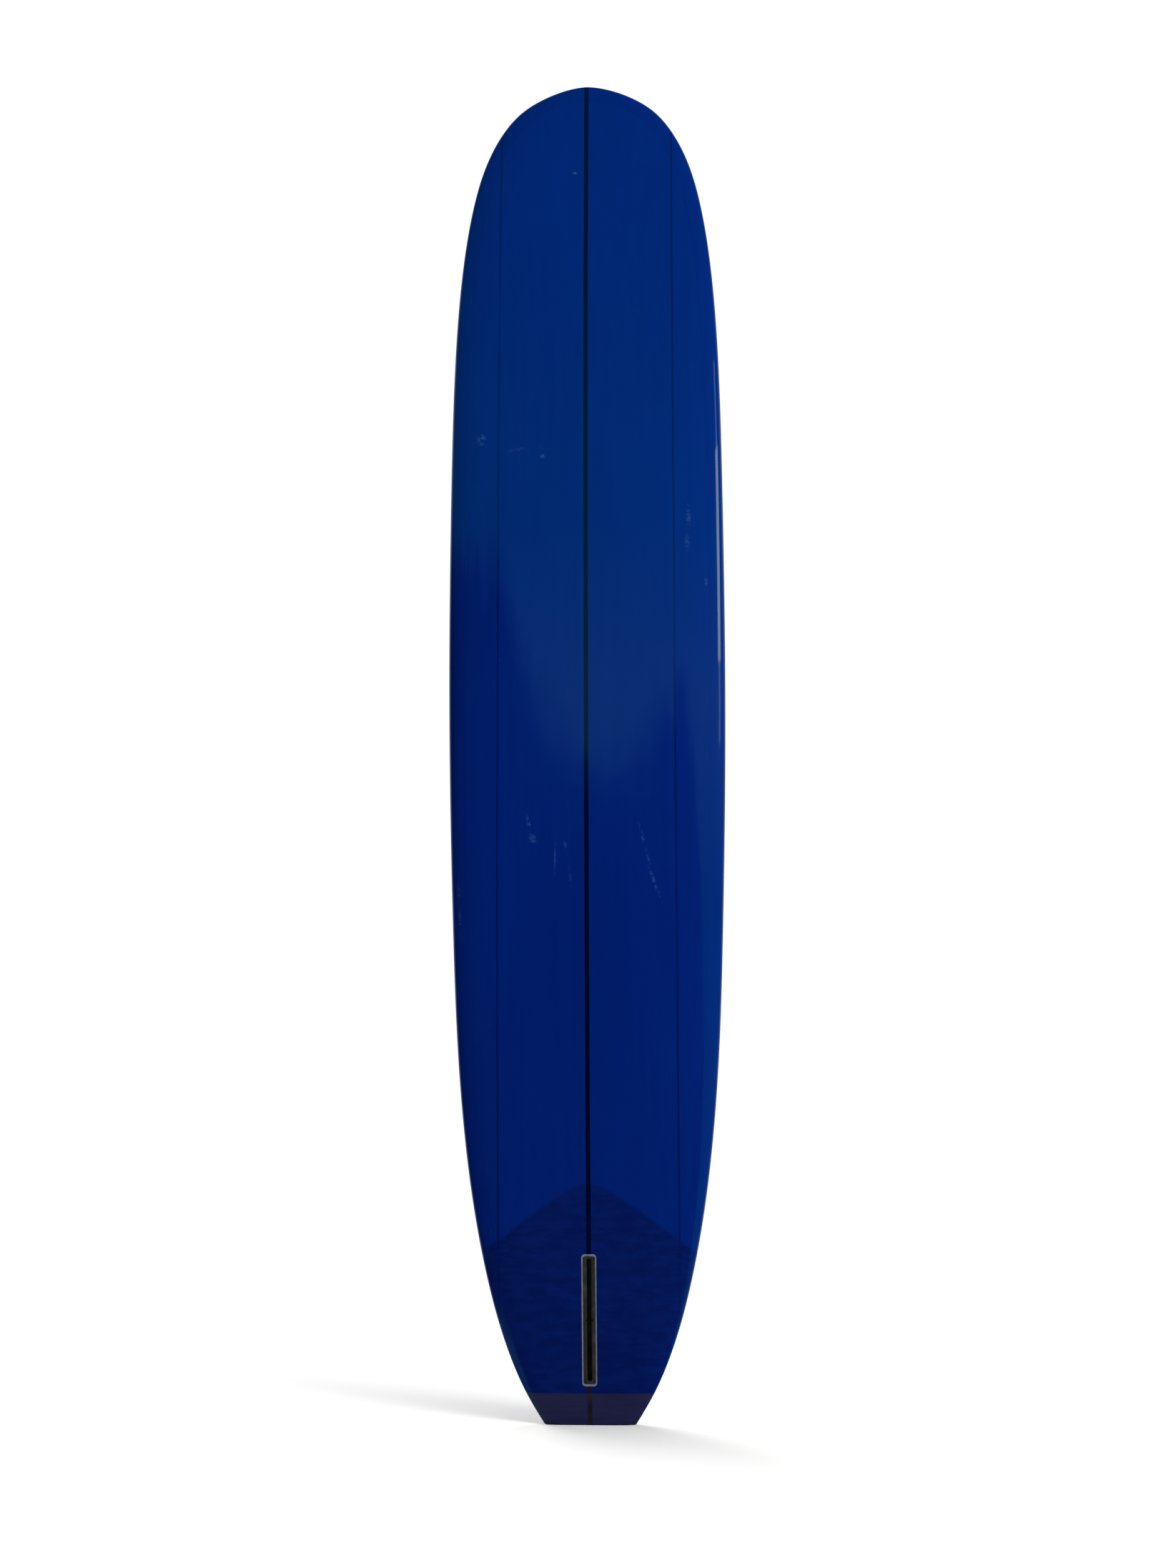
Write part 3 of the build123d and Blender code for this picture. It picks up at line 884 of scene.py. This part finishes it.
# What the gloss reflects. A direction has three parts from -1 to 1: across (X), along (Y) and up (Z).
# Each span of the horizon raises it from its third number to its fourth as across goes from its first
# to its second. Each window starts, is full from, is full to, and ends at a distance across.
HORIZON = [(-0.185, -0.035, 0.27, 0.125), (-0.025, 0.065, 0.0, 0.045), (0.12, 0.95, 0.0, -0.75)]
HEDGE_SIZE = 16.0
HEDGE_HEIGHT = 0.09
SKY = [(0.0, (0.01, 0.21, 0.33)), (0.16, (0.08, 0.32, 0.41)), (0.3, (0.005, 0.24, 0.37)),
       (0.55, (0.0, 0.15, 0.31)), (1.0, (0.0, 0.1, 0.24))]
DARK_GROUND = (0.0, 0.002, 0.012)
FLOOR_GLOW = (0.12, 0.42, 0.6)
WINDOWS = [(0.17, 0.2, 0.31, 0.36), (0.84, 0.87, 0.93, 0.96)]
STUDIO_WHITE = (0.8, 0.92, 1.0)
ROOM_WHITE = (0.98, 0.99, 1.0)
ROOM_LIGHT = 0.13


def floor():
    """A pale round floor that runs out into the white behind it."""
    bm = bmesh.new()
    bmesh.ops.create_circle(bm, cap_ends=True, segments=96, radius=FLOOR_RADIUS)
    disc = as_object(bm, "floor")
    disc.location = (0, 0, -FLOOR_DOWN)
    disc.visible_glossy = False
    f = Finish("floor_paint", roughness=0.9, specular=0.0)
    f.colour(f.blend(f.noise(900, 2), (0.86, 0.86, 0.865), (0.88, 0.88, 0.875)))
    away = f.math("SQRT", f.add(f.times(f.x, f.x), f.times(f.y, f.y)))
    white = f.new("ShaderNodeEmission")
    white.inputs["Color"].default_value = (1, 1, 1, 1)
    paint = f.choose(f.fade(away, *FLOOR_FADE), f.shader.outputs[0], white.outputs[0])
    f.put(paint, f.tree.nodes["Material Output"].inputs["Surface"])
    disc.data.materials.append(f.material)


class Studio(Nodes):
    """The world's node tree: even light on the board, and something for its gloss to reflect."""

    def __init__(self):
        world = bpy.data.worlds.new("studio")
        bpy.context.scene.world = world
        world.use_nodes = True
        world.cycles.sampling_method = "NONE"
        super().__init__(world.node_tree)
        self.tree.nodes.clear()
        self.direction = self.new("ShaderNodeTexCoord").outputs["Generated"]
        self.across, self.along, self.up = self.split(self.direction)

    def light(self, colour, strength=1.0):
        node = self.new("ShaderNodeBackground")
        self.put_colour(colour, node.inputs["Color"])
        self.put(strength, node.inputs["Strength"])
        return node.outputs[0]

    def outdoors(self):
        """A pale sky over a dark hedge and ground, for the bottom's gloss."""
        hedge = self.new("ShaderNodeTexNoise")
        self.put(self.direction, hedge.inputs["Vector"])
        hedge.inputs["Scale"].default_value = HEDGE_SIZE
        hedge.inputs["Detail"].default_value = 3.0
        horizon = self.times(self.add(hedge.outputs[0], -0.5), HEDGE_HEIGHT)
        for span in HORIZON:
            horizon = self.add(horizon, self.fade(self.across, *span))
        above = self.fade(self.math("SUBTRACT", self.up, horizon), -0.035, 0.035)
        sky = self.new("ShaderNodeValToRGB")
        self.put(self.up, sky.inputs[0])
        ramp = sky.color_ramp
        while len(ramp.elements) < len(SKY):
            ramp.elements.new(1.0)
        for element, (at, tint) in zip(ramp.elements, SKY):
            element.position = at
            element.color = (*tint, 1)
        return self.choose(above, self.light(DARK_GROUND), self.light(sky.outputs[0]))

    def with_floor_glow(self, gloss):
        """The bright floor low on the left, which the left rail reflects."""
        low_left = self.times(self.fade(self.across, -0.6, -0.45, 1.0, 0.0),
                              self.fade(self.up, -0.5, -0.38, 1.0, 0.0))
        return self.choose(low_left, gloss, self.light(FLOOR_GLOW, self.fade(self.up, -0.9, -0.3, 0.05, 0.8)))

    def indoors(self):
        """Tall windows in a dim room, for the deck's gloss."""
        sideways = self.math("ABSOLUTE", self.across)
        windows = 0.0
        for start, start_full, end_full, end in WINDOWS:
            opens = self.fade(sideways, start, start_full)
            closes = self.fade(sideways, end_full, end, 1.0, 0.0)
            windows = self.add(windows, self.times(opens, closes))
        windows = self.times(windows, self.fade(self.up, 0.5, 0.6, 0.95, 0.0))
        windows = self.times(windows, self.fade(self.up, -0.7, -0.45))
        dim = self.add(self.fade(self.up, -0.9, -0.05, 0.05, 0.26), self.fade(self.up, 0.0, 0.8, 0.0, 0.25))
        return self.light(STUDIO_WHITE, self.add(windows, dim))


def surroundings():
    """White behind the board, weak even light on it, and for its gloss a pale sky over dark ground on the
    bottom's side and a dim room with windows on the deck's side."""
    s = Studio()
    gloss = s.choose(s.fade(s.along, 0.08, 0.25), s.with_floor_glow(s.outdoors()), s.indoors())
    rays = s.new("ShaderNodeLightPath").outputs
    unseen = s.choose(rays["Is Glossy Ray"], s.light(ROOM_WHITE, ROOM_LIGHT), gloss)
    shown = s.choose(rays["Is Camera Ray"], unseen, s.light((1.0, 1.0, 1.0)))
    s.put(shown, s.new("ShaderNodeOutputWorld").inputs["Surface"])


def panel(name, place, aim, size, power, tint, shines=False):
    """A soft rectangular light: metres and watts. It shows in the gloss only if it shines."""
    light = bpy.data.lights.new(name, "AREA")
    light.shape = "RECTANGLE"
    light.size, light.size_y = size
    light.energy = power
    light.color = tint
    lamp = bpy.data.objects.new(name, light)
    bpy.context.scene.collection.objects.link(lamp)
    lamp.location = place
    lamp.rotation_mode = "QUATERNION"
    lamp.rotation_quaternion = (Vector(aim) - Vector(place)).to_track_quat("-Z", "Y")
    lamp.visible_glossy = shines
    lamp.visible_camera = False


MIDDLE = (0, 0, 1.45)
RIGHT_RAIL = (0.28, 0, 1.85)      # where the strip and the glint show in the gloss
NEAR_WHITE = (1.0, 0.99, 0.98)


def lights():
    """Three soft lights, and two narrow ones that show in the gloss along the right rail."""
    panel("key", (3.7, -3.0, 2.3), MIDDLE, (2.0, 2.0), 265, NEAR_WHITE)
    panel("key_behind", (-3.2, 3.4, 2.6), MIDDLE, (3.6, 3.6), 240, NEAR_WHITE)
    panel("overhead", (0, 0, 6.5), (0, 0, 0), (4.0, 4.0), 260, (1.0, 1.0, 1.0))
    panel("strip", (3.64, -2.09, 2.95), RIGHT_RAIL, (0.6, 2.1), 6.0, (0.55, 0.9, 1.0), shines=True)
    panel("glint", (3.51, -2.01, 2.85), RIGHT_RAIL, (1.0, 1.1), 11.0, (0.93, 1.0, 0.42), shines=True)


CAMERA_AT = (0.246, -4.4387, 0.8093)
CAMERA_TURN = 3.184               # degrees to the left of square on
CAMERA_UP = 6.675                 # degrees above level
CAMERA_ROLL = -0.186              # degrees
CAMERA_LENS = 48.09               # mm, on a sensor 36 mm high


def camera():
    """The photograph's viewing angle: low, a little to the right and turned back to the left."""
    data = bpy.data.cameras.new("camera")
    data.sensor_width = 36.0
    data.lens = CAMERA_LENS
    data.clip_start, data.clip_end = 0.05, 100.0
    eye = bpy.data.objects.new("camera", data)
    bpy.context.scene.collection.objects.link(eye)
    turn = Matrix.Rotation(math.radians(CAMERA_TURN), 4, "Z")
    tilt = Matrix.Rotation(math.radians(90 + CAMERA_UP), 4, "X")
    roll = Matrix.Rotation(math.radians(CAMERA_ROLL), 4, "Z")
    eye.matrix_world = Matrix.Translation(CAMERA_AT) @ turn @ tilt @ roll
    bpy.context.scene.camera = eye


def dress(piece, material, slot, *nodes):
    """Gives a new piece its material and its body, and hides the CAD nodes that it stands for. The slot is
    not used.
    """
    piece.data.materials.clear()
    piece.data.materials.append(material)
    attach(piece, "root")
    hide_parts(*nodes)


def repaint(node, material):
    """Gives a CAD node a better material."""
    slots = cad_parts[node].material_slots
    if not slots:
        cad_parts[node].data.materials.append(material)
    for slot in slots:
        slot.material = material


def build():
    """Makes each piece with its material, and gives the CAD nodes that stay a better one."""
    dress(bottom_glass(), blue_glass("bottom_blue", True), "blue_glass", "bottom_laminate")
    dress(deck_glass(), blue_glass("deck_blue", False), "blue_glass", "deck_laminate")
    stained = block_wood("stained_block", (0.0075, 0.0085, 0.044), (0.0125, 0.0125, 0.058), 9)
    strip = block_wood("block_strip_wood", (0.008, 0.006, 0.008), (0.02, 0.015, 0.018), 30)
    edge, past_rail = STRINGER / 2, LENGTH / 8
    dress(tail_block("tail_wood_left", -past_rail, -edge), stained, "tail_block", "tail_block_left")
    dress(tail_block("tail_wood_centre", -edge, edge), strip, "block_strip", "tail_block_centre")
    dress(tail_block("tail_wood_right", edge, past_rail), stained, "tail_block", "tail_block_right")
    dress(fin_box(), moulded_plastic("black_plastic", (0.016, 0.0145, 0.0125), (0.05, 0.045, 0.04)),
          "box_plastic", "fin_box")
    dress(fin_box_bed(), cast_resin("grey_resin", (0.082, 0.092, 0.116), (0.165, 0.178, 0.22)),
          "clear_resin", "fin_box_resin")
    dress(plug_cup(), moulded_plastic("plug_plastic", (0.01, 0.01, 0.011), (0.03, 0.03, 0.032)),
          "plug_plastic", "leash_plug_cup")
    dress(plug_pin(), brushed_steel("plug_steel"), "steel_pin", "leash_plug_pin")
    dress(plug_bed(), cast_resin("plug_resin", (0.02, 0.04, 0.12), (0.05, 0.09, 0.2)),
          "clear_resin", "leash_plug_resin")

    core = foam("planed_foam")
    for node in ("foam_core_left", "foam_core_right", "foam_rail_left", "foam_rail_right"):
        repaint(node, core)
    repaint("centre_stringer", strip_wood("centre_wood", (0.10, 0.045, 0.02), (0.2, 0.1, 0.045)))
    side_wood = strip_wood("side_wood", (0.16, 0.08, 0.035), (0.3, 0.17, 0.08))
    for node in ("left_stringer", "right_stringer"):
        repaint(node, side_wood)
    repaint("fin_patch", patch_cloth("wet_cloth"))


build()
floor()
surroundings()
lights()
camera()
bpy.context.scene.view_settings.view_transform = "Standard"
